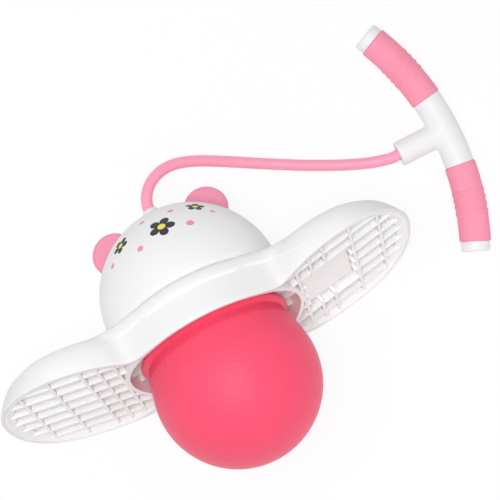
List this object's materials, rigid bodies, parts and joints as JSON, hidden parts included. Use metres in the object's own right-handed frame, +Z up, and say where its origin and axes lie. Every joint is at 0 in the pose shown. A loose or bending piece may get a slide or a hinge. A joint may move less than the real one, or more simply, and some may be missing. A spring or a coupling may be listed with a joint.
{
  "type": "hopper ball",
  "caption": "Toy jump ball: a pink ball under a white foot deck with ribbed pedals, a round dome with ears on top, and an elastic cord to a curved T handle.",
  "frame": {"origin": "the point where the dome touches the floor, as the toy lies on its back", "axes": "+X from the middle of the deck towards the right pedal and the handle, +Y from the ball towards the cord's collar, along the floor, +Z up"},
  "size_m": [0.465, 0.2882, 0.1801],
  "materials": {
    "white_plastic": "satin white moulded plastic",
    "ball_rubber": "soft pink rubber with a fine matt grain",
    "valve_rubber": "soft pink rubber",
    "clamp_plastic": "plain grey moulded plastic",
    "screw_steel": "plated steel",
    "ear_plastic": "satin pink moulded plastic",
    "cord_rubber": "smooth pink elastic cord",
    "grip_foam": "matt pink foam rubber"
  },
  "bodies": {
    "toy": {"deck": "white_plastic", "ball": "ball_rubber", "valve_seat": "valve_rubber", "clamp_ring": "clamp_plastic", "clamp_screws": "screw_steel", "dome": "white_plastic", "dome_screws": "screw_steel", "ear_left": "ear_plastic", "ear_right": "ear_plastic", "cord": "cord_rubber", "dome_knot": "cord_rubber", "dome_washer": "screw_steel"},
    "plug": {"valve_plug": "valve_rubber"},
    "cord_end": {"handle_knot": "cord_rubber", "handle_washer": "screw_steel"},
    "handle": {"handle_core": "white_plastic", "grip_left": "grip_foam", "grip_right": "grip_foam", "cap_left": "white_plastic", "cap_right": "white_plastic"}
  },
  "joints": [
    {"name": "plug_pull", "type": "slide", "parent": "toy", "child": "plug", "axis": [0, -0.8354, -0.5497], "range_m": [0, 0.015]},
    {"name": "cord_stretch", "type": "slide", "parent": "toy", "child": "cord_end", "axis": [1, 0, 0], "range_m": [0, 0.12], "stiffness_N_per_m": 300, "deforming": ["cord"]},
    {"name": "handle_swivel", "type": "hinge", "parent": "cord_end", "child": "handle", "pos_m": [0.262, 0.0255, 0.0144], "axis": [1, 0, 0], "continuous": true}
  ]
}
